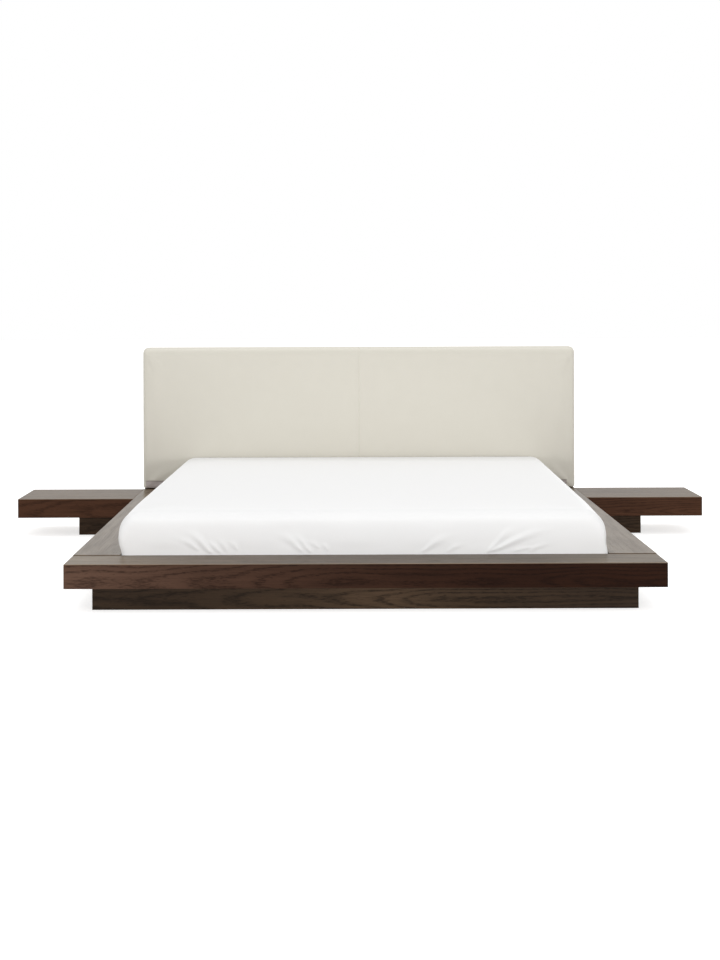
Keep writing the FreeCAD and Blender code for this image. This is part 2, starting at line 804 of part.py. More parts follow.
def mattress_form(inset):
    """Mattress shape: drawn in inside the well, swelling a little over the rails, with a rolled top."""
    well_depth = platform_top - mattress_bottom
    side_run = mattress_thickness - mattress_crown - mattress_roll - well_depth
    in_well = mattress_swell + mattress_draw
    roll = mattress_bottom_roll
    half_turn = 1 - math.sqrt(0.5)
    stations = [
        (in_well + roll, inset),
        (in_well + roll * half_turn, inset + roll * half_turn),
        (in_well, inset + roll),
        (in_well, well_depth),
        (mattress_swell / 2, well_depth + swell_rise_share * side_run),
        (0, well_depth + swell_full_share * side_run),
    ]
    stations += rolled_edge(mattress_thickness - inset, mattress_roll, mattress_crown, mattress_crown_run)

    def to_point(u, v, height):
        return vector(u, well_middle + v, mattress_bottom + height)

    half_x = mattress_width / 2 + mattress_swell - inset
    half_y = well_length / 2 - mattress_end_gap - inset
    return padded_form(half_x, half_y, mattress_corner, stations, to_point)


def mattress():
    """Foam core in a fitted sheet whose elastic hem is tucked under it."""
    hem_x = mattress_width / 2 - sheet_hem_width
    hem_y = mattress_length / 2 - sheet_hem_width
    opening = box(-hem_x, hem_x, well_middle - hem_y, well_middle + hem_y,
                  mattress_bottom - cut_overrun, mattress_bottom + sheet_thickness + soft_clearance)
    sheet = mattress_form(0).cut(mattress_form(sheet_thickness))
    add("fitted_sheet", sheet.cut(opening))
    add("mattress_core", mattress_form(sheet_thickness + soft_clearance))


fixings = plinth()
shelf_cuts, leg_cuts, ledge_cuts, front_cuts, rear_cuts = platform(fixings)
slat_base(ledge_cuts, front_cuts, rear_cuts)
centre_feet()
headboard(leg_cuts)
bedside_shelves(shelf_cuts)
mattress()

os.makedirs("parts", exist_ok=True)
for node_name, node_shape in NODES.items():
    node_shape.exportStep("parts/" + node_name + ".step")
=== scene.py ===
import math
import random

import bpy
import numpy as np
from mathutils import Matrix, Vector


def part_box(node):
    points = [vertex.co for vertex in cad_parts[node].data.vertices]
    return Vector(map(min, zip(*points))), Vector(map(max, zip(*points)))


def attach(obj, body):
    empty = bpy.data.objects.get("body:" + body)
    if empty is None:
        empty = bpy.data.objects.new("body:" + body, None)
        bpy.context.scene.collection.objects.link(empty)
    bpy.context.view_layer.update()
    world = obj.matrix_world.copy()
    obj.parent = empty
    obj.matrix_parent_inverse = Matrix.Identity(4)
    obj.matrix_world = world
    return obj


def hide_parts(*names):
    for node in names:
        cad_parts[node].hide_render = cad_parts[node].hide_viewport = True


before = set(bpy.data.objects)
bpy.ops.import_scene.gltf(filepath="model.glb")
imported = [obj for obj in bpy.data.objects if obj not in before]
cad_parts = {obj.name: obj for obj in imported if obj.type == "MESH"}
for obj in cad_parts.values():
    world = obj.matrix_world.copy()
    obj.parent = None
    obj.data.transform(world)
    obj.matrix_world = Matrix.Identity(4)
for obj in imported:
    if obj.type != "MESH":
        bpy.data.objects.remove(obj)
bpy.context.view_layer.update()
bpy.ops.object.select_all(action="DESELECT")


# Plinth: four boards of stained oak veneer stand on edge on the floor, set well back under the
# platform, with glued blocks in their corners. They are duller and more olive than the rails above.
# The front board has painted shade: it is darker towards its ends, where less light reaches it, and
# palest in the middle.

class Tone:
    """A value that flows out of a shader node. Arithmetic on it adds Math nodes."""

    def __init__(self, finish, socket):
        self.finish = finish
        self.socket = socket

    def also(self, output):
        """Another output of the same node."""
        return Tone(self.finish, self.socket.node.outputs[output])

    def math(self, operation, first, second=0.0):
        return self.finish.node("ShaderNodeMath", {"operation": operation}, {0: first, 1: second})

    def __add__(self, other):
        return self.math("ADD", self, other)

    __radd__ = __add__

    def __sub__(self, other):
        return self.math("SUBTRACT", self, other)

    def __rsub__(self, other):
        return self.math("SUBTRACT", other, self)

    def __mul__(self, other):
        return self.math("MULTIPLY", self, other)

    __rmul__ = __mul__

    def __pow__(self, other):
        return self.math("POWER", self, other)

    def __abs__(self):
        return self.math("ABSOLUTE", self)


class Finish:
    """A procedural finish: one Principled surface, and the nodes that vary it over the piece."""

    def __init__(self, name, tree=None):
        if tree is None:
            self.material = bpy.data.materials.new(name)
            self.material.use_nodes = True
            tree = self.material.node_tree
        self.tree = tree
        self.surface = tree.nodes.get("Principled BSDF")

    def node(self, kind, settings=None, inputs=None, output=0):
        """Adds a node: its settings first, then the values or links of its sockets."""
        made = self.tree.nodes.new(kind)
        for name, value in (settings or {}).items():
            setattr(made, name, value)
        self.feed(made, inputs or {})
        return Tone(self, made.outputs[output])

    def feed(self, node, inputs):
        for name, value in inputs.items():
            if isinstance(value, Tone):
                self.tree.links.new(value.socket, node.inputs[name])
            else:
                node.inputs[name].default_value = value

    def axes(self):
        """The three Object coordinates, in metres."""
        place = self.node("ShaderNodeTexCoord", output="Object")
        x = self.node("ShaderNodeSeparateXYZ", inputs={0: place})
        return x, x.also("Y"), x.also("Z")

    def noise(self, x, y, z, detail=2.0, roughness=0.5):
        place = self.node("ShaderNodeCombineXYZ", inputs={0: x, 1: y, 2: z})
        inputs = {"Vector": place, "Scale": 1.0, "Detail": detail, "Roughness": roughness}
        return self.node("ShaderNodeTexNoise", inputs=inputs)

    def rise(self, value, low, high):
        """0 below low, 1 above high, and a smooth step between."""
        inputs = {"Value": value, "From Min": low, "From Max": high}
        return self.node("ShaderNodeMapRange", {"interpolation_type": "SMOOTHSTEP"}, inputs)

    def mix(self, share, under, over):
        return self.node("ShaderNodeMix", {"data_type": "RGBA"}, {0: share, 6: under, 7: over}, 2)

    def bump(self, height, depth, strength=1.0):
        inputs = {"Height": height, "Distance": depth, "Strength": strength}
        return self.node("ShaderNodeBump", inputs=inputs)


def colour(tone, gain=1.0):
    return (*(channel * gain for channel in tone), 1)


def wood(name, grain, heart, taper, deep, pale, ring, ring_share, pore_share, roughness, specular,
         painted_light_span=None, top=None, arrises=None):
    """Wood with its grain along one axis: growth rings round a heart line, fibres and open pores.

    heart, taper: where the heart line passes, and how far it strays sideways per metre of length.
    painted_light_span: light painted along the grain: where it is palest, how far that reaches, and the
    deep and pale tones there.
    top: the height of an upper face, the tone of the sheen painted on it, that painted sheen's share at
    mid-length, and its wax.
    arrises: the tone of a highlight painted along upper edges, then each edge's axis, its place and the
    sign of the way inward.
    """
    finish = Finish(name)
    x, y, z = finish.axes()
    along, across, depth = {"x": (x, y, z), "y": (y, x, z), "z": (z, x, y)}[grain]
    wander = finish.noise(along * 1.6, across * 5.0, depth * 5.0)
    fibre = finish.noise(along * 7.0, across * 230.0, depth * 230.0, 4.0, 0.6)
    pore = finish.noise(along * 42.0, across * 330.0, depth * 330.0, 3.0, 0.65)
    from_heart = across - heart[0] + along * taper
    above_heart = depth - heart[1]
    radius = (from_heart * from_heart + above_heart * above_heart) ** 0.5
    phase = (radius + wander * 0.06) * (2 * math.pi / ring)
    late = (phase.math("SINE", phase) * 0.5 + 0.5) ** 2.0
    cloud = finish.noise(along * 3.0, across * 14.0, depth * 14.0, 3.0)
    lightness = fibre * 0.7 + cloud * 0.6 - late * ring_share + (ring_share * 0.4 - 0.15)
    shade = finish.rise(lightness, 0.1, 0.95)
    open_pore = finish.rise(pore + late * 0.16, 0.56, 0.74) * pore_share
    tint = finish.mix(shade, colour(deep), colour(pale))
    # Painted light along the grain: paler towards one place and darker away from it, as light falls.
    if painted_light_span:
        palest, reach, painted_lit_deep, painted_lit_pale = painted_light_span
        near = 1 - abs(along - palest) * (1 / reach)
        lit_share = near.math("MAXIMUM", near, 0.0) ** 2.5
        tint = finish.mix(lit_share, tint, finish.mix(shade, colour(painted_lit_deep), colour(painted_lit_pale)))
    tint = finish.mix(open_pore, tint, colour(deep, 0.45))
    # Painted sheen: upper faces paler, standing for the bright surround seen in them, weaker mid-length.
    if top:
        level, sheen_tone, middle_share, wax = top
        on_top = finish.rise(z, level - 0.0016, level - 0.0004)
        sheen_share = finish.rise(abs(along), 0.45, 0.95) * (0.85 - middle_share) + middle_share
        if painted_light_span:
            sheen_share *= lit_share * 0.2 + 0.8
        streak = finish.rise(finish.noise(along * 4.0, across * 48.0, depth * 48.0, 4.0, 0.6), 0.34, 0.66)
        sheen_grain = finish.mix(shade * 0.4 + streak * 0.6, colour(sheen_tone, 0.72), colour(sheen_tone, 1.26))
        tint = finish.mix(on_top * sheen_share * (1 - open_pore * 0.5), tint, sheen_grain)
        waxed = on_top * sheen_share * (wax * 0.8 + streak * (wax * 0.3))
        finish.feed(finish.surface, {"Coat Weight": waxed, "Coat IOR": 1.25, "Coat Roughness": 0.28})
    # Painted highlight: a pale line along the upper edges, where light catches them.
    if arrises:
        highlight_tone, edges = arrises
        near_top = finish.rise(z, level - 0.0022, level - 0.0012)
        highlight_share = 0.0
        for axis, place, inward in edges:
            inside = ({"x": x, "y": y}[axis] - place) * inward
            highlight_share = finish.rise(inside, 0.0018, 0.0009) + highlight_share
        tint = finish.mix(highlight_share * near_top * (fibre * 0.6 + 0.5), tint, colour(highlight_tone))
    finish.feed(finish.surface, {
        "Base Color": tint,
        "Roughness": fibre * 0.1 + open_pore * 0.15 + (roughness - 0.05),
        "Specular IOR Level": specular,
        "Normal": finish.bump(fibre * 0.35 - open_pore, 0.0002, 0.4),
    })
    return finish


def dress(finish, *names):
    for name in names:
        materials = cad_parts[name].data.materials
        materials.clear()
        materials.append(finish.material)


plinth_deep = (0.0300, 0.0165, 0.0086)
plinth_pale = (0.0690, 0.0400, 0.0222)
plinth_shaded_end_deep = (0.0160, 0.0088, 0.0044)
plinth_shaded_end_pale = (0.0390, 0.0223, 0.0118)
plinth_lit_mid_deep = (0.0380, 0.0222, 0.0118)
plinth_lit_mid_pale = (0.0925, 0.0560, 0.0318)
oak = {"ring": 0.009, "ring_share": 0.2, "pore_share": 0.6, "roughness": 0.55, "specular": 0.1}
# Painted shade: the front board is darker towards its ends and paler in the middle.
plinth_front_wood = wood("plinth_front_wood", "x", (-1.03, 0.03), 0.03, plinth_shaded_end_deep, plinth_shaded_end_pale,
                         **oak, painted_light_span=(0.05, 1.0, plinth_lit_mid_deep, plinth_lit_mid_pale))
plinth_side_wood = wood("plinth_side_wood", "y", (0.84, 0.03), 0.02, plinth_deep, plinth_pale, **oak)
dress(plinth_front_wood, "plinth_front_board", "plinth_rear_board")
dress(plinth_side_wood, "plinth_right_board", "plinth_left_board")

softwood = {"ring": 0.007, "ring_share": 0.55, "pore_share": 0.1, "roughness": 0.55, "specular": 0.3}
pine_deep = (0.46, 0.275, 0.125)
pine_pale = (0.68, 0.490, 0.280)
block_pine = wood("block_pine", "z", (0.7, -1.2), 0.0, pine_deep, pine_pale, **softwood)
dress(block_pine, "plinth_corner_blocks")


# Platform: four hollow rails folded from veneered board, stained very dark and lacquered satin.
# The side rails butt against the foot rail, dowelled and bracketed, and thin panels close them below.

veneer = {"ring": 0.0085, "ring_share": 0.13, "pore_share": 0.5, "roughness": 0.30, "specular": 0.03}
rail_deep = (0.0112, 0.0038, 0.0019)
rail_pale = (0.0266, 0.0094, 0.0045)
# Painted light: the foot rail's lit left end, the sheen painted on tops, the highlight painted on edges.
painted_lit_deep = (0.067, 0.036, 0.024)
painted_lit_pale = (0.121, 0.067, 0.046)
foot_top_sheen = (0.142, 0.092, 0.034)
side_top_sheen = (0.148, 0.101, 0.053)
edge_highlight = (0.270, 0.205, 0.150)
foot_low, foot_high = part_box("foot_rail")
platform_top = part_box("right_side_rail")[1].z
# Foot rail: painted light at its left end, a painted sheen on its top, a painted highlight on its edge.
foot_rail_veneer = wood("foot_rail_veneer", "x", (-1.09, 0.10), 0.03, rail_deep, rail_pale, **veneer,
                        painted_light_span=(foot_low.x, foot_high.x - foot_low.x, painted_lit_deep, painted_lit_pale),
                        top=(foot_high.z, foot_top_sheen, 0.44, 0.46),
                        arrises=(edge_highlight, [("y", foot_low.y, 1)]))
# Side rails: a painted sheen on their tops and a painted highlight along their top edges.
side_rail_veneer = wood("side_rail_veneer", "y", (0.2, 0.05), 0.02, rail_deep, rail_pale, **veneer,
                        top=(platform_top, side_top_sheen, 0.85, 0.56),
                        arrises=(edge_highlight, [("x", foot_high.x, -1), ("x", foot_low.x, 1)]))
dress(foot_rail_veneer, "foot_rail")
dress(side_rail_veneer, "right_side_rail", "left_side_rail")
head_rail_veneer = wood("head_rail_veneer", "x", (1.02, 0.10), 0.03, rail_deep, rail_pale, **veneer)
dress(head_rail_veneer, "head_rail")

hardboard_dark = (0.09, 0.05, 0.026)
hardboard_light = (0.30, 0.19, 0.10)
hardboard = Finish("hardboard")
x, y, z = hardboard.axes()
felted = hardboard.noise(x * 260.0, y * 260.0, z * 260.0, 5.0, 0.7)
blotch = hardboard.noise(x * 9.0, y * 9.0, z * 9.0, 3.0)
pressed = felted * 0.7 + blotch * 0.3
hardboard.feed(hardboard.surface, {
    "Base Color": hardboard.mix(pressed, colour(hardboard_dark), colour(hardboard_light)),
    "Roughness": felted * 0.2 + 0.6,
    "Normal": hardboard.bump(felted, 0.0003, 0.4),
})
dress(hardboard, "foot_rail_underside", "right_rail_underside", "left_rail_underside",
      "right_shelf_underside", "left_shelf_underside")

hardwood = {"ring": 0.006, "ring_share": 0.2, "pore_share": 0.3, "roughness": 0.45, "specular": 0.35}
beech_deep = (0.45, 0.275, 0.145)
beech_pale = (0.64, 0.440, 0.255)
dowel_beech = wood("dowel_beech", "y", (0.0, 0.0), 0.0, beech_deep, beech_pale, **hardwood)
dress(dowel_beech, "rail_dowels")


# Steel fixings: pressed angles, corner brackets, screws, bolts and nuts, all bright zinc plated.
# The plating has soft cloudy patches and fine brush marks from the drum.

zinc_dull = (0.50, 0.51, 0.52)
zinc_bright = (0.74, 0.74, 0.71)
zinc = Finish("zinc_plate")
x, y, z = zinc.axes()
spangle = zinc.noise(x * 90.0, y * 90.0, z * 90.0, 4.0, 0.6)
scuff = zinc.noise(x * 900.0, y * 900.0, z * 140.0, 2.0)
zinc.feed(zinc.surface, {
    "Base Color": zinc.mix(spangle, colour(zinc_dull), colour(zinc_bright)),
    "Metallic": 1.0,
    "Roughness": spangle * 0.18 + scuff * 0.12 + 0.2,
    "Normal": zinc.bump(scuff, 0.0001, 0.3),
})
dress(zinc, "plinth_fixing_angles", "plinth_angle_screws", "corner_brackets", "corner_bracket_screws",
      "slat_ledge_screws", "beam_hanger_screws", "beam_hangers", "shelf_bolts", "shelf_nuts",
      "headboard_bolts", "headboard_nuts", "shelf_foot_screws", "foot_inserts")


# Slat base: pine ledges on the side rails and a pine beam down the middle carry two rows of
# sprung beech slats. Moulded black pockets, pegged into the pine, hold the slats' ends.

beam_pine = wood("beam_pine", "y", (0.4, -0.1), 0.02, pine_deep, pine_pale, **softwood)
dress(beam_pine, "right_slat_ledge", "left_slat_ledge", "centre_beam")

slat_beech = wood("slat_beech", "x", (0.3, -0.4), 0.02, beech_deep, beech_pale, **hardwood)
dress(slat_beech, "right_slats", "left_slats")

plastic_black = (0.012, 0.012, 0.013)
plastic_dusty = (0.030, 0.030, 0.031)
moulded = Finish("moulded_black")
x, y, z = moulded.axes()
spark = moulded.noise(x * 1300.0, y * 1300.0, z * 1300.0, 2.0)
dust = moulded.noise(x * 25.0, y * 25.0, z * 25.0, 3.0)
moulded.feed(moulded.surface, {
    "Base Color": moulded.mix(dust, colour(plastic_black), colour(plastic_dusty)),
    "Roughness": spark * 0.2 + 0.38,
    "Normal": moulded.bump(spark, 0.0001, 0.4),
})
dress(moulded, "right_slat_caps", "left_slat_caps", "centre_slat_caps")


# Centre feet: two threaded steel stems in the beam, each on a moulded pad, screw down to the floor.
# The thread is cut at a pitch of a millimetre and a half.

thread_pitch = 0.0015
thread_root = (0.34, 0.34, 0.35)
thread_crest = (0.70, 0.70, 0.68)
thread = Finish("cut_thread")
x, y, z = thread.axes()
turns = z * (2 * math.pi / thread_pitch)
crest = turns.math("SINE", turns) * 0.5 + 0.5
# Painted shade and highlight: the thread is darker in its roots and brighter on its crests.
thread.feed(thread.surface, {
    "Base Color": thread.mix(crest, colour(thread_root), colour(thread_crest)),
    "Metallic": 1.0,
    "Roughness": 0.42 - crest * 0.14,
    "Normal": thread.bump(crest, 0.0006, 0.8),
})
dress(thread, "front_foot_stem", "rear_foot_stem")
dress(moulded, "front_foot_pad", "rear_foot_pad")


# Bedside shelves: folded boxes of the rails' dark veneer, bolted to the side rails level with them.
# Each stands on a square tube of plinth wood, set back under its inner half.

shelf_deep = (0.0425, 0.0182, 0.0098)
shelf_pale = (0.0930, 0.0405, 0.0220)
shelf_top_sheen = (0.108, 0.067, 0.026)
shelf_low, shelf_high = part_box("right_shelf")
shelf_edges = [("y", shelf_low.y, 1), ("x", shelf_high.x, -1), ("x", -shelf_high.x, 1)]
# Shelves: a painted sheen on their tops and a painted highlight along their top edges.
shelf_veneer = wood("shelf_veneer", "x", (0.74, 0.10), 0.04, shelf_deep, shelf_pale, **veneer,
                    top=(platform_top, shelf_top_sheen, 0.85, 0.27), arrises=(edge_highlight, shelf_edges))
shelf_foot_wood = wood("shelf_foot_wood", "x", (0.79, 0.03), 0.03, plinth_deep, plinth_pale, **oak)
dress(shelf_veneer, "right_shelf", "left_shelf")
dress(shelf_foot_wood, "right_shelf_foot", "left_shelf_foot")


# Headboard frame: two dark stained legs bolted to the head end, joined by pine bars and stiles, and
# faced with thin plywood that carries the padding.

leg_stain = wood("leg_stain", "z", (0.6, 1.3), 0.0, rail_deep, rail_pale, **oak)
stile_pine = wood("stile_pine", "z", (0.5, 1.3), 0.0, pine_deep, pine_pale, **softwood)
bar_pine = wood("bar_pine", "x", (1.3, 0.2), 0.02, pine_deep, pine_pale, **softwood)
poplar_deep = (0.52, 0.38, 0.22)
poplar_pale = (0.72, 0.58, 0.38)
plywood = wood("poplar_plywood", "x", (3.0, 0.4), 0.02, poplar_deep, poplar_pale,
               ring=0.03, ring_share=0.3, pore_share=0.15, roughness=0.6, specular=0.3)
dress(leg_stain, "headboard_right_leg", "headboard_left_leg")
dress(stile_pine, "headboard_stiles")
dress(bar_pine, "headboard_top_bar", "headboard_bottom_bar")
dress(plywood, "headboard_plywood")


# Headboard pad: one sheet of foam glued over the plywood and round the frame's edges, so that the
# front is softly crowned and its edges are rolled. A low strip along the foot is set back a little,
# and a groove lets in the cover's centre seam.

def plain_block(name, low, high, voxel):
    """Square block remeshed to even faces, ready to be rolled and swollen."""
    bpy.ops.object.select_all(action="DESELECT")
    bpy.ops.mesh.primitive_cube_add(size=1, location=(low + high) / 2)
    block = bpy.context.object
    block.name = name
    block.scale = high - low
    bpy.ops.object.transform_apply(location=True, rotation=True, scale=True)
    block.data.remesh_voxel_size = voxel
    bpy.ops.object.voxel_remesh()
    return block


def points_of(piece):
    rows = np.empty(len(piece.data.vertices) * 3)
    piece.data.vertices.foreach_get("co", rows)
    return rows.reshape(-1, 3)


def normals_of(piece):
    rows = np.empty(len(piece.data.vertices) * 3)
    piece.data.vertices.foreach_get("normal", rows)
    return rows.reshape(-1, 3)


def move_to(piece, points):
    piece.data.vertices.foreach_set("co", points.ravel())
    piece.data.update()


def smooth_step(value, low, high):
    share = np.clip((value - low) / (high - low), 0, 1)
    return share * share * (3 - 2 * share)


def roll_edges(first, second, half_first, half_second, reach_first, reach_second=None):
    """Rolls a block's square edges between two axes to quarter ellipses, measured from its middle."""
    reach_first = np.maximum(reach_first, 1e-6)
    reach_second = reach_first if reach_second is None else np.maximum(reach_second, 1e-6)
    u = np.clip((np.abs(first) - half_first) / reach_first + 1, 0, 1)
    v = np.clip((np.abs(second) - half_second) / reach_second + 1, 0, 1)
    first = first + np.sign(first) * reach_first * u * (np.sqrt(1 - v * v / 2) - 1)
    second = second + np.sign(second) * reach_second * v * (np.sqrt(1 - u * u / 2) - 1)
    return first, second


def relax(piece, times):
    bpy.context.view_layer.objects.active = piece
    bpy.ops.object.mode_set(mode="EDIT")
    bpy.ops.mesh.select_all(action="SELECT")
    bpy.ops.mesh.vertices_smooth(factor=0.5, repeat=times)
    bpy.ops.object.mode_set(mode="OBJECT")


def swell(piece, held, most):
    """Lets a pad swell under its filling: held points stay put, and none moves further than most."""
    pressure = 4
    last_frame = 20
    start = points_of(piece)
    stuck = piece.vertex_groups.new(name="stuck")
    stuck.add([int(index) for index in np.flatnonzero(held)], 1.0, "REPLACE")
    filling = piece.modifiers.new("filling", "CLOTH")
    filling.settings.use_pressure = True
    filling.settings.uniform_pressure_force = pressure
    filling.settings.vertex_group_mass = stuck.name
    filling.settings.effector_weights.gravity = 0
    filling.point_cache.frame_start = 1
    filling.point_cache.frame_end = last_frame
    for number in range(1, last_frame + 1):
        bpy.context.scene.frame_set(number)
    bpy.context.view_layer.objects.active = piece
    bpy.ops.object.modifier_apply(modifier=filling.name)
    bpy.context.scene.frame_set(1)
    piece.vertex_groups.clear()
    moved = points_of(piece) - start
    length = np.linalg.norm(moved, axis=1, keepdims=True)
    move_to(piece, start + moved * np.minimum(1, most / np.maximum(length, 1e-9)))


def cut_planes(piece, cuts, chosen=None):
    """Cuts a piece along planes, all over or only through the faces that chosen picks."""
    bpy.context.view_layer.objects.active = piece
    for place, direction in cuts:
        for polygon in piece.data.polygons:
            polygon.select = chosen is None or chosen(polygon)
        bpy.ops.object.mode_set(mode="EDIT")
        bpy.ops.mesh.select_mode(type="FACE")
        bpy.ops.mesh.bisect(plane_co=place, plane_no=direction)
        bpy.ops.object.mode_set(mode="OBJECT")


def cut_away(piece, low, high):
    """Cuts a square-cornered hole from low to high out of a piece."""
    bpy.ops.object.select_all(action="DESELECT")
    bpy.ops.mesh.primitive_cube_add(size=1, location=(low + high) / 2)
    hole = bpy.context.object
    hole.scale = high - low
    bpy.ops.object.transform_apply(location=True, rotation=True, scale=True)
    difference = piece.modifiers.new("hole", "BOOLEAN")
    difference.object = hole
    difference.operation = "DIFFERENCE"
    bpy.context.view_layer.objects.active = piece
    bpy.ops.object.modifier_apply(modifier=difference.name)
    bpy.data.objects.remove(hole)


def finished(piece, finish, body):
    """Smooth shading, its finish and the body it moves with."""
    bpy.ops.object.select_all(action="DESELECT")
    piece.select_set(True)
    bpy.context.view_layer.objects.active = piece
    bpy.ops.object.shade_smooth_by_angle(angle=math.radians(40))
    piece.data.materials.clear()
    piece.data.materials.append(finish.material)
    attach(piece, body)


foam_low, foam_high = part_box("headboard_foam")
ply_low, ply_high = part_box("headboard_plywood")
pad_crown = 0.004
pad_corner = 0.022
pad_foot_corner = 0.004
pad_top_roll = 0.032
pad_side_roll = 0.016
pad_foot_roll = 0.0025
pad_fullness = 0.006
pad_voxel = 0.008
pad_low = foam_low + Vector((-pad_fullness, pad_crown, 0))
pad_high = foam_high + Vector((pad_fullness, 0, 0))
pad_back = pad_high.y
pad = plain_block("headboard_pad", pad_low, pad_high, pad_voxel)
pad_middle = (pad_low + pad_high) / 2
pad_half = (pad_high - pad_low) / 2
across, front, up = (points_of(pad) - pad_middle).T * np.array([[1], [-1], [1]])
across, up = roll_edges(across, up, pad_half.x, pad_half.z, np.where(up > 0, pad_corner, pad_foot_corner))
across, front = roll_edges(across, front, pad_half.x, pad_half.y, np.where(front > 0, pad_side_roll, 0))
end_roll = np.where(up > 0, pad_top_roll, pad_foot_roll)
up, front = roll_edges(up, front, pad_half.z, pad_half.y, np.where(front > 0, end_roll, 0))
move_to(pad, np.stack([across, -front, up], axis=1) + np.array(pad_middle))
relax(pad, 2)
swell(pad, points_of(pad)[:, 1] > ply_low.y, pad_crown)

strip_height = 0.0335
strip_top = foam_low.z + strip_height
strip_depth = 0.003
strip_left = -0.952
strip_right = 0.926
strip_ease = 0.006
lip_shares = (0, 0.04, 0.15, 0.32, 0.6, 1)
strip_cuts = [((0, 0, strip_top + strip_depth * share), (0, 0, 1)) for share in lip_shares]
for end in (strip_left, strip_right):
    strip_cuts += [((end + step, 0, 0), (1, 0, 0)) for step in (-strip_ease, 0, strip_ease)]
cut_planes(pad, strip_cuts, lambda face: face.normal.y < -0.3 and face.center.z < strip_top + 0.03)
skin = points_of(pad)
lip = 1 - np.clip((skin[:, 2] - strip_top) / strip_depth, 0, 1)
set_back = strip_depth * (1 - np.sqrt(1 - lip * lip))
set_back *= 1 - smooth_step(skin[:, 0], strip_right - strip_ease, strip_right + strip_ease)
set_back *= smooth_step(skin[:, 0], strip_left - strip_ease, strip_left + strip_ease)
set_back *= 1 - smooth_step(skin[:, 1], pad_low.y + 0.006, pad_low.y + 0.030)
skin[:, 1] += set_back
move_to(pad, skin)

seam_depth = 0.0024
seam_reach = 0.0050
pucker_pitch = 0.021
pucker_share = 0.12
seam_steps = (0.0012, 0.0026, 0.0048, 0.0085, 0.014)
seam_planes = [((0, 0, 0), (1, 0, 0))]
for step in seam_steps:
    seam_planes += [((step, 0, 0), (1, 0, 0)), ((-step, 0, 0), (1, 0, 0))]
cut_planes(pad, seam_planes)
skin = points_of(pad)
dip = seam_depth * np.exp(-np.abs(skin[:, 0]) / seam_reach)
dip *= 1 + pucker_share * np.sin(skin[:, 2] * (2 * math.pi / pucker_pitch))
dip *= 1 - smooth_step(skin[:, 1], pad_back - 0.030, pad_back - 0.010)
move_to(pad, skin - normals_of(pad) * dip[:, None])

foam_deep = (0.62, 0.55, 0.34)
foam_pale = (0.80, 0.74, 0.52)
foam = Finish("foam")
x, y, z = foam.axes()
cells = foam.noise(x * 900.0, y * 900.0, z * 900.0, 3.0, 0.7)
foam.feed(foam.surface, {
    "Base Color": foam.mix(cells, colour(foam_deep), colour(foam_pale)),
    "Roughness": cells * 0.15 + 0.8,
    "Normal": foam.bump(cells, 0.0006, 0.6),
})


# Headboard cover: cream leathercloth in two halves, sewn together down the middle. A strip along the
# foot, stopping short of the right edge, is painted darker as shade of its set-back. The cover is drawn
# over the pad and turned in behind it, where it is stapled to the frame.

cover_gap = 0.0019
cover_thickness = 0.0014
return_width = 0.035
return_x = pad_high.x + cover_gap - return_width
return_low = foam_low.z - cover_gap + return_width
return_high = foam_high.z + cover_gap - return_width

cover = pad.copy()
cover.data = pad.data.copy()
cover.name = "leathercloth"
bpy.context.collection.objects.link(cover)
move_to(cover, points_of(cover) + normals_of(cover) * cover_gap)


def behind(polygon):
    return polygon.normal.y > 0.9 and polygon.center.y > pad_back - 0.004


def delete_faces(piece, unwanted):
    for polygon in piece.data.polygons:
        polygon.select = unwanted(polygon)
    bpy.context.view_layer.objects.active = piece
    bpy.ops.object.mode_set(mode="EDIT")
    bpy.ops.mesh.select_mode(type="FACE")
    bpy.ops.mesh.delete(type="FACE")
    bpy.ops.object.mode_set(mode="OBJECT")


cut_planes(cover, [
    ((return_x, 0, 0), (1, 0, 0)), ((-return_x, 0, 0), (1, 0, 0)),
    ((0, 0, return_low), (0, 0, 1)), ((0, 0, return_high), (0, 0, 1)),
], behind)
delete_faces(cover, lambda face: behind(face) and abs(face.center.x) < return_x
             and return_low < face.center.z < return_high)

cream_deep = (0.648, 0.620, 0.543)
cream_pale = (0.683, 0.656, 0.580)
# The strip's tone is painted shade: the set-back strip along the foot is darker than the cream.
strip_shade = (0.480, 0.430, 0.412)
leather = Finish("cream_leathercloth")
x, y, z = leather.axes()
place = leather.node("ShaderNodeCombineXYZ", inputs={0: x, 1: y, 2: z})
pebble = leather.node("ShaderNodeTexVoronoi", {"feature": "DISTANCE_TO_EDGE"},
                      {"Vector": place, "Scale": 620.0})
crease = leather.rise(pebble, 0.0, 0.22)
mottle = leather.noise(x * 14.0, y * 14.0, z * 14.0, 3.0)
grain = leather.noise(x * 1500.0, y * 1500.0, z * 1500.0, 2.0)
# Painted shade: the grain's creases are a little darker.
cream = leather.mix(mottle * 0.6 + crease * 0.4, colour(cream_deep), colour(cream_pale))
# Painted shade: the set-back strip along the foot is painted in the darker tone.
shaded_strip = leather.rise(z, strip_top + 0.003, strip_top - 0.001)
shaded_strip *= leather.rise(x, strip_right + 0.002, strip_right - 0.002)
shaded_strip *= leather.rise(x, strip_left - 0.002, strip_left + 0.002)
shaded_strip *= leather.rise(y, pad_back, pad_back - 0.01)
leather.feed(leather.surface, {
    "Base Color": leather.mix(shaded_strip, cream, colour(strip_shade)),
    "Roughness": grain * 0.1 + 0.48 - crease * 0.06,
    "Specular IOR Level": 0.35,
    "Normal": leather.bump(crease * 0.7 + grain * 0.3, 0.00015, 0.5),
})

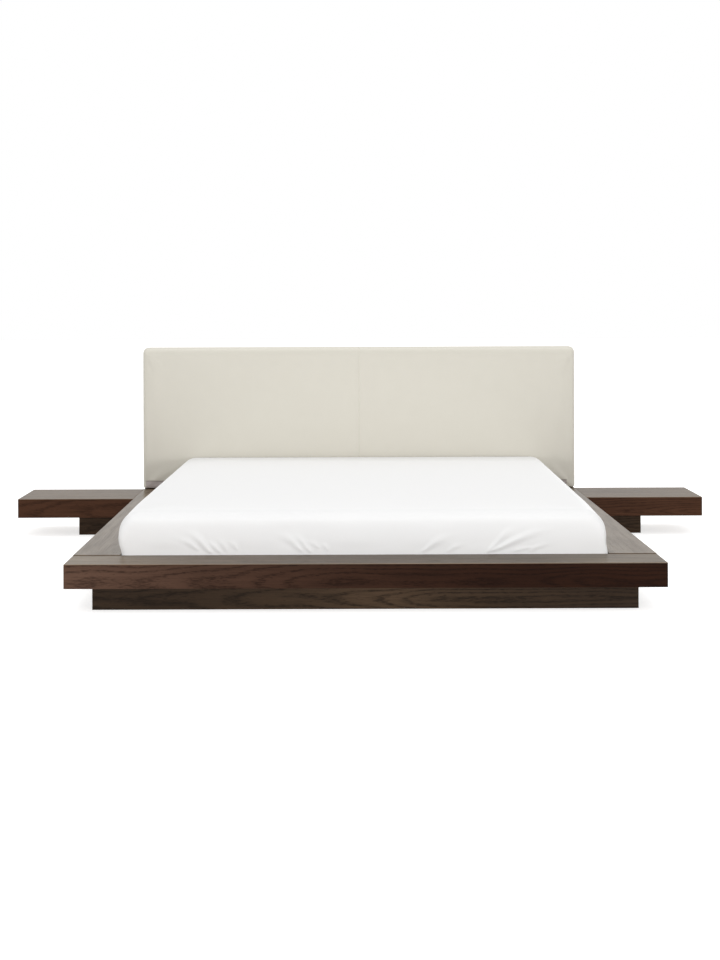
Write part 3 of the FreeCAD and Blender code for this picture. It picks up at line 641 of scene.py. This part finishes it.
leg_low, leg_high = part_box("headboard_right_leg")
slot_gap = 0.0004
slot_skim = 0.0001
slot_rise = 0.034
cut_past = 0.01
slot_low = Vector((leg_low.x - slot_gap, leg_low.y - slot_gap, foam_low.z - cut_past))
slot_high = Vector((leg_high.x + slot_gap, leg_high.y + slot_skim, foam_low.z + slot_rise))
for side, sign in (("right", 1), ("left", -1)):
    half = cover.copy()
    half.data = cover.data.copy()
    half.name = "leather_cover_" + side
    bpy.context.collection.objects.link(half)
    delete_faces(half, lambda face: face.center.x * sign < 0)
    skin_thickness = half.modifiers.new("thickness", "SOLIDIFY")
    skin_thickness.thickness = cover_thickness
    bpy.context.view_layer.objects.active = half
    bpy.ops.object.modifier_apply(modifier=skin_thickness.name)
    near_x, far_x = sorted((slot_low.x * sign, slot_high.x * sign))
    cut_away(half, Vector((near_x, slot_low.y, slot_low.z)), Vector((far_x, slot_high.y, slot_high.z)))
    finished(half, leather, "bed_frame")
    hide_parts("headboard_cover_" + side)
bpy.data.objects.remove(cover)

let_in = Vector((slot_gap, slot_gap, slot_gap))
cut_away(pad, ply_low - let_in, Vector((ply_high.x, pad_back + cut_past, ply_high.z)) + let_in)
for sign in (1, -1):
    near_x, far_x = sorted((slot_low.x * sign, slot_high.x * sign))
    behind_pad = Vector((far_x, pad_back + cut_past, slot_high.z))
    cut_away(pad, Vector((near_x, slot_low.y, slot_low.z)), behind_pad)
finished(pad, foam, "bed_frame")
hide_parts("headboard_foam")


# Back cloth: a black dust cover of felted fabric, stretched over the back of the frame inside the
# turned-in leathercloth. It dips a little between the bars, and staples hold it all round.

cloth_low, cloth_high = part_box("headboard_back_cloth")
cloth_size = cloth_high - cloth_low
bpy.ops.object.select_all(action="DESELECT")
bpy.ops.mesh.primitive_grid_add(x_subdivisions=160, y_subdivisions=48, size=1,
                                location=(0, cloth_low.y, (cloth_low.z + cloth_high.z) / 2),
                                rotation=(-math.pi / 2, 0, 0))
back_cloth = bpy.context.object
back_cloth.name = "back_dust_cloth"
back_cloth.scale = (cloth_size.x, cloth_size.z, 1)
bpy.ops.object.transform_apply(location=True, rotation=True, scale=True)
bar_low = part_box("headboard_bottom_bar")[1].z
bar_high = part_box("headboard_top_bar")[0].z
stile_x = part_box("headboard_stiles")[1].x
stile_width = 0.060
bays = [(-leg_low.x, -stile_x), (stile_width - stile_x, stile_x - stile_width), (stile_x, leg_low.x)]
cloth_dip = 0.005
cloth_thickness = 0.0007
weave = points_of(back_cloth)
for left, right in bays:
    over = np.clip((weave[:, 0] - left) / (right - left), 0, 1)
    rise = np.clip((weave[:, 2] - bar_low) / (bar_high - bar_low), 0, 1)
    bowl = np.sin(math.pi * over) ** 0.6 * np.sin(math.pi * rise) ** 0.6
    pull = 1 + 0.15 * np.sin(weave[:, 0] * 31 + weave[:, 2] * 17)
    weave[:, 1] -= cloth_dip * bowl * pull
move_to(back_cloth, weave)
cloth_body = back_cloth.modifiers.new("thickness", "SOLIDIFY")
cloth_body.thickness = cloth_thickness
cloth_body.offset = 1
bpy.ops.object.modifier_apply(modifier=cloth_body.name)

felt_deep = (0.010, 0.010, 0.011)
felt_pale = (0.045, 0.045, 0.048)
felt = Finish("black_dust_cloth")
x, y, z = felt.axes()
fuzz = felt.noise(x * 700.0, y * 700.0, z * 700.0, 4.0, 0.7)
drift = felt.noise(x * 60.0, y * 60.0, z * 60.0, 3.0)
felt.feed(felt.surface, {
    "Base Color": felt.mix(fuzz * 0.6 + drift * 0.4, colour(felt_deep), colour(felt_pale)),
    "Roughness": fuzz * 0.1 + 0.85,
    "Normal": felt.bump(fuzz, 0.0004, 0.6),
})
finished(back_cloth, felt, "bed_frame")
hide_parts("headboard_back_cloth")

staple_crown = 0.010
staple_wire = 0.0011
staple_depth = 0.0014
staple_round = 0.0004
staple_turn = 0.12
staple_pitch = 0.045
bpy.ops.object.select_all(action="DESELECT")
bpy.ops.mesh.primitive_cube_add(size=1, location=(0, 0, 0))
staple = bpy.context.object
staple.scale = (staple_crown, staple_depth, staple_wire)
bpy.ops.object.transform_apply(location=True, rotation=True, scale=True)
rounded = staple.modifiers.new("bent_wire", "BEVEL")
rounded.width = staple_round
rounded.segments = 2
bpy.ops.object.modifier_apply(modifier=rounded.name)
middle_z = (cloth_low.z + cloth_high.z) / 2
cloth_row = (0.010, cloth_low.y + 0.0010)
leather_row = (-0.016, cloth_low.y + 0.0016)
staple_places = []
for inset, staple_y in (cloth_row, leather_row):
    width = cloth_size.x - 2 * inset
    height = cloth_size.z - 2 * inset
    for step in range(round(width / staple_pitch)):
        run = width * ((step + 0.5) / round(width / staple_pitch) - 0.5)
        staple_places += [(run, staple_y, middle_z + sign * height / 2, 0.0) for sign in (1, -1)]
    for step in range(round(height / staple_pitch)):
        run = height * ((step + 0.5) / round(height / staple_pitch) - 0.5)
        staple_places += [(sign * width / 2, staple_y, middle_z + run, math.pi / 2) for sign in (1, -1)]
chance = random.Random(7)
for at_x, at_y, at_z, turn in staple_places:
    copied = staple.copy()
    copied.data = staple.data.copy()
    bpy.context.collection.objects.link(copied)
    copied.location = (at_x, at_y, at_z)
    copied.rotation_euler = (0, turn + chance.uniform(-staple_turn, staple_turn), 0)
    copied.select_set(True)
    bpy.context.view_layer.objects.active = copied
bpy.data.objects.remove(staple)
bpy.ops.object.join()
staples = bpy.context.object
staples.name = "back_staples"
bpy.ops.object.transform_apply(location=True, rotation=True, scale=True)
finished(staples, zinc, "bed_frame")


# Mattress: a block of foam in knitted ticking, softly rolled along its top edges and drawn in where
# it sinks between the rails. It only lies on the slats, a little askew, so it lifts straight out.

sheet_low, sheet_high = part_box("fitted_sheet")
wall_inset = 0.0035
flat_inset = 0.0015
mattress_roll = 0.058
foot_corner_roll = 0.070
foot_reach = 0.046
foot_drop = 0.038
head_roll = 0.024
bottom_roll = 0.022
corner_roll_high = 0.056
head_corner_roll = 0.036
corner_roll_low = 0.010
wall_bulge = 0.0015
top_fullness = 0.002
wall_draw = 0.0010
well_draw = 0.0016
askew_foot = -0.0100
askew_head = 0.0178
core_voxel = 0.014
core_swell = 0.002
inset_all = Vector((wall_inset, wall_inset, flat_inset))
core_low = sheet_low + inset_all
core_high = sheet_high - inset_all
core = plain_block("mattress_foam", core_low, core_high, core_voxel)
core_middle = (core_low + core_high) / 2
core_half = (core_high - core_low) / 2
over, along, up = (points_of(core) - core_middle).T
height = up + core_middle.z - platform_top
corner_gain = np.where(along < 0, corner_roll_high, head_corner_roll) - corner_roll_low
corner_roll = corner_roll_low + corner_gain * smooth_step(height, 0.03, 0.14)
over, along = roll_edges(over, along, core_half.x, core_half.y, corner_roll)
side_roll = mattress_roll + (foot_corner_roll - mattress_roll) * smooth_step(-along, 0.6, core_half.y)
over, up = roll_edges(over, up, core_half.x, core_half.z, np.where(up > 0, side_roll, bottom_roll))
end_reach = np.where(up > 0, np.where(along < 0, foot_reach, head_roll), bottom_roll)
end_drop = np.where(up > 0, np.where(along < 0, foot_drop, head_roll), bottom_roll)
along, up = roll_edges(along, up, core_half.y, core_half.z, end_reach, end_drop)
move_to(core, np.stack([over, along, up], axis=1) + np.array(core_middle))
relax(core, 2)
swell(core, points_of(core)[:, 2] < platform_top, core_swell)

ticked = points_of(core)
height = ticked[:, 2] - platform_top
top_height = core_high.z - platform_top + top_fullness
ticked[:, 2] = np.where(height > 0, platform_top + height * top_height / height.max(), ticked[:, 2])
drawn = wall_draw * (1 - smooth_step(height, 0, 0.055))
drawn += well_draw * (1 - smooth_step(height, -0.02, 0.002))
drawn -= wall_bulge * smooth_step(height, 0.01, 0.05) * (1 - smooth_step(height, 0.06, 0.13))
ticked[:, 0] *= 1 - drawn / core_half.x
ticked[:, 1] = core_middle.y + (ticked[:, 1] - core_middle.y) * (1 - 0.4 * drawn / core_half.y)
toward_head = (ticked[:, 1] - core_middle.y) / core_half.y * 0.5 + 0.5
askew = askew_foot + (askew_head - askew_foot) * toward_head
ticked[:, 0] += askew * smooth_step(height, 0.001, 0.040)
move_to(core, ticked)

ticking_deep = (0.62, 0.61, 0.57)
ticking_pale = (0.80, 0.79, 0.76)
wale = 0.0016
course = 0.0022
ticking = Finish("knitted_ticking")
x, y, z = ticking.axes()
loops_x = x * (2 * math.pi / wale)
loops_y = y * (2 * math.pi / course)
knit = loops_x.math("SINE", loops_x) * loops_y.math("SINE", loops_y) * 0.5 + 0.5
yarn = ticking.noise(x * 420.0, y * 420.0, z * 420.0, 2.0)
ticking.feed(ticking.surface, {
    "Base Color": ticking.mix(knit * 0.6 + yarn * 0.4, colour(ticking_deep), colour(ticking_pale)),
    "Roughness": yarn * 0.1 + 0.82,
    "Normal": ticking.bump(knit + yarn * 0.4, 0.0004, 0.6),
})
finished(core, ticking, "mattress")
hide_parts("mattress_core")


# Fitted sheet: plain white percale pulled over the mattress, with sewn corners and an elastic hem
# tucked underneath. The hem drags it into slanting folds along the lower edge.

hem_width = 0.140
flat_offset = 0.0013
wall_offset = 0.0033
sheet = core.copy()
sheet.data = core.data.copy()
sheet.name = "white_fitted_sheet"
sheet.parent = None
# The copy drops the marks of the piece that it was taken from.
for key in list(sheet.keys()):
    del sheet[key]
bpy.context.collection.objects.link(sheet)
hem_x = core_half.x - hem_width
hem_y = core_half.y - hem_width


def underneath(polygon):
    return polygon.normal.z < -0.9


cut_planes(sheet, [
    ((hem_x, 0, 0), (1, 0, 0)), ((-hem_x, 0, 0), (1, 0, 0)),
    ((0, core_middle.y - hem_y, 0), (0, 1, 0)), ((0, core_middle.y + hem_y, 0), (0, 1, 0)),
], underneath)
delete_faces(sheet, lambda face: underneath(face) and abs(face.center.x) < hem_x
             and abs(face.center.y - core_middle.y) < hem_y)


def divide(piece, chosen):
    """Divides the chosen faces in four and eases the new points."""
    bpy.context.view_layer.objects.active = piece
    bpy.ops.object.mode_set(mode="EDIT")
    bpy.ops.mesh.select_all(action="DESELECT")
    bpy.ops.object.mode_set(mode="OBJECT")
    for polygon in piece.data.polygons:
        polygon.select = chosen(polygon)
    bpy.ops.object.mode_set(mode="EDIT")
    bpy.ops.mesh.select_mode(type="FACE")
    bpy.ops.mesh.subdivide(number_cuts=1)
    bpy.ops.mesh.vertices_smooth(factor=0.5, repeat=2)
    bpy.ops.object.mode_set(mode="OBJECT")


fold_low = platform_top - 0.02
fold_high = platform_top + 0.100
roll_high = sheet_high.z - 0.010
divide(sheet, lambda face: fold_low < face.center.z < roll_high)
divide(sheet, lambda face: fold_low < face.center.z < fold_high and face.normal.y < 0.5)
facing = normals_of(sheet)
offset = wall_offset + (flat_offset - wall_offset) * smooth_step(np.abs(facing[:, 2]), 0.3, 0.9)
move_to(sheet, points_of(sheet) + facing * offset[:, None])

# Each fold along the foot end: place and height of its foot, then of its head, how wide, how proud.
front_folds = [
    (-0.507, 0.006, -0.556, 0.066, 0.010, 0.0047), (-0.552, 0.018, -0.582, 0.049, 0.010, 0.0034),
    (-0.477, 0.007, -0.503, 0.040, 0.009, 0.0033), (-0.454, 0.013, -0.470, 0.046, 0.009, 0.0027),
    (-0.420, 0.016, -0.431, 0.040, 0.009, 0.0023),
    (-0.210, 0.013, -0.253, 0.060, 0.011, 0.0039), (-0.178, 0.007, -0.217, 0.057, 0.010, 0.0035),
    (-0.154, 0.022, -0.171, 0.042, 0.010, 0.0025), (-0.122, 0.013, -0.132, 0.034, 0.009, 0.0021),
    (0.194, 0.010, 0.250, 0.056, 0.011, 0.0034), (0.273, 0.007, 0.303, 0.031, 0.009, 0.0023),
    (0.411, 0.013, 0.470, 0.076, 0.010, 0.0044), (0.421, 0.010, 0.545, 0.070, 0.010, 0.0049),
    (0.493, 0.007, 0.530, 0.022, 0.009, 0.0026), (0.543, 0.007, 0.579, 0.031, 0.009, 0.0023),
]


def fold_lift(run, height, folds):
    """How far the folds stand out from a wall, by place along it and height above the platform.

    Each stands up sharply on its upper side, which catches the light, and runs out gently below.
    """
    total = np.zeros(len(run))
    for foot, foot_height, head, head_height, width, proud in folds:
        slope = (head - foot) / (head_height - foot_height)
        share = (height - foot_height) / (head_height - foot_height)
        away = (run - foot - slope * (height - foot_height)) / math.hypot(1, slope)
        over_crest = away * (head - foot) < 0
        away = away / (width * np.where(over_crest, 0.75, 1.4) * (0.6 + 0.6 * np.clip(share, 0, 1.3)))
        ridge = np.exp(-away ** 2) - 0.1 * np.exp(-(np.abs(away) - 1.7) ** 2)
        total += proud * ridge * smooth_step(share, -0.3, 0.15) * (1 - smooth_step(share, 0.55, 1.35))
    return total


def loose_folds(chance, length, count):
    folds = []
    for step in range(count):
        foot = length * ((step + chance.uniform(0.2, 0.8)) / count - 0.5)
        head = foot + math.copysign(chance.uniform(0.02, 0.09), foot)
        folds.append((foot, chance.uniform(0.010, 0.018), head, chance.uniform(0.04, 0.08),
                      chance.uniform(0.011, 0.016), chance.uniform(0.0012, 0.0032)))
    return folds


sway_depth = 0.0016
chance = random.Random(11)
linen = points_of(sheet)
facing = normals_of(sheet)
height = linen[:, 2] - platform_top
along = linen[:, 1] - core_middle.y
lift = np.zeros(len(linen))
walls = [
    (linen[:, 0], -facing[:, 1], front_folds),
    (along, facing[:, 0], loose_folds(chance, 1.9, 15)),
    (along, -facing[:, 0], loose_folds(chance, 1.9, 15)),
]
for run, outward, folds in walls:
    lift += smooth_step(outward, 0.3, 0.8) * fold_lift(run, height, folds)
sway = np.sin(linen[:, 0] * 9.1 + 0.6) * np.sin(linen[:, 1] * 7.3 + 1.1)
sway += 0.6 * np.sin(linen[:, 0] * 21 + linen[:, 1] * 17)
lift += sway_depth * sway * smooth_step(height, 0.01, 0.04) * (1 - smooth_step(height, 0.08, 0.135))
lift *= smooth_step(height, 0, 0.010) * (1 - smooth_step(facing[:, 1], 0.2, 0.7))
move_to(sheet, linen + facing * lift[:, None])

percale_deep = (0.80, 0.80, 0.80)
percale_pale = (0.86, 0.86, 0.858)
percale = Finish("white_percale")
x, y, z = percale.axes()
warp = percale.noise(x * 2400.0, y * 240.0, z * 240.0, 1.0)
weft = percale.noise(x * 240.0, y * 2400.0, z * 2400.0, 1.0)
rumple = percale.noise(x * 16.0, y * 16.0, z * 22.0, 3.0)
percale.feed(percale.surface, {
    "Base Color": percale.mix(warp * 0.5 + weft * 0.5, colour(percale_deep), colour(percale_pale)),
    "Roughness": warp * 0.1 + 0.8,
    "Specular IOR Level": 0.3,
    "Sheen Weight": 0.6,
    "Sheen Roughness": 0.4,
    "Normal": percale.bump(rumple * 0.9 + (warp + weft) * 0.05, 0.0012, 0.3),
})
finished(sheet, percale, "mattress")
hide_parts("fitted_sheet")


# Stage: a white floor and a white surround, lit softly from both sides of the foot end and from above
# the head. The floor closed in by the plinth lies in the bed's own shade.

def seen_rays(finish):
    """1 where the camera, a reflection or a look through something meets the surface."""
    path = finish.node("ShaderNodeLightPath", output="Is Camera Ray")
    return path + path.also("Is Glossy Ray") + path.also("Is Transmission Ray")


floor_size = 80
floor_grey = (0.80, 0.80, 0.80)
floor_glow = 0.67
bpy.ops.object.select_all(action="DESELECT")
bpy.ops.mesh.primitive_plane_add(size=floor_size, location=(0, 0, 0))
floor = bpy.context.object
floor.name = "floor"
floor_paint = Finish("floor_paint")
floor.data.materials.append(floor_paint.material)
floor_paint.feed(floor_paint.surface, {"Base Color": colour(floor_grey), "Roughness": 0.9,
                                       "Specular IOR Level": 0.1})
seen = seen_rays(floor_paint)
x, y, z = floor_paint.axes()
plinth_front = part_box("plinth_front_board")[0]
plinth_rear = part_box("plinth_rear_board")[1]
edge = 0.01
open_floor = floor_paint.rise(abs(x), plinth_rear.x - edge, plinth_rear.x)
open_floor += floor_paint.rise(y, plinth_front.y + edge, plinth_front.y)
open_floor += floor_paint.rise(y, plinth_rear.y - edge, plinth_rear.y)
shown = seen * open_floor.math("MINIMUM", open_floor, 1.0)
glow = floor_paint.node("ShaderNodeEmission",
                        inputs={"Color": (1, 1, 1, 1), "Strength": shown * floor_glow})
both = floor_paint.node("ShaderNodeAddShader",
                        inputs={0: Tone(floor_paint, floor_paint.surface.outputs[0]), 1: glow})
floor_paint.feed(floor_paint.tree.nodes["Material Output"], {"Surface": both})

world = bpy.data.worlds.new("studio")
bpy.context.scene.world = world
world.use_nodes = True
sky = Finish("studio", world.node_tree)
seen = seen_rays(sky)
room_light = 0.84
sky.feed(world.node_tree.nodes["Background"], {
    "Color": (1, 1, 1, 1),
    "Strength": seen.math("MINIMUM", seen, 1.0) * (1 - room_light) + room_light,
})


def softbox(name, place, aim, size, watts):
    bpy.ops.object.light_add(type="AREA", location=place)
    lamp = bpy.context.object
    lamp.name = name
    lamp.visible_camera = False
    lamp.data.shape = "RECTANGLE"
    lamp.data.size, lamp.data.size_y = size
    lamp.data.energy = watts
    lamp.rotation_euler = (Vector(aim) - Vector(place)).to_track_quat("-Z", "Y").to_euler()


softbox("left_softbox", (-1.9, -5.6, 0.55), (-0.3, -1.0, 0.3), (2.4, 0.6), 49)
softbox("right_softbox", (1.9, -5.6, 0.55), (0.3, -1.0, 0.3), (2.4, 0.6), 69)
softbox("rear_softbox", (0.0, 2.4, 4.1), (0.0, -0.2, 0.3), (4.0, 1.6), 44)

# Camera: level, straight on from the foot end, with the picture shifted to put the bed low in it.
bpy.ops.object.camera_add(location=(-0.068, -6.588, 0.983), rotation=(math.pi / 2, 0.0035, 0))
camera = bpy.context.object
camera.data.lens = 64.3
camera.data.sensor_width = 36
camera.data.shift_x = 0.0174
camera.data.shift_y = -0.1835
bpy.context.scene.camera = camera
bpy.context.scene.view_settings.view_transform = "Standard"
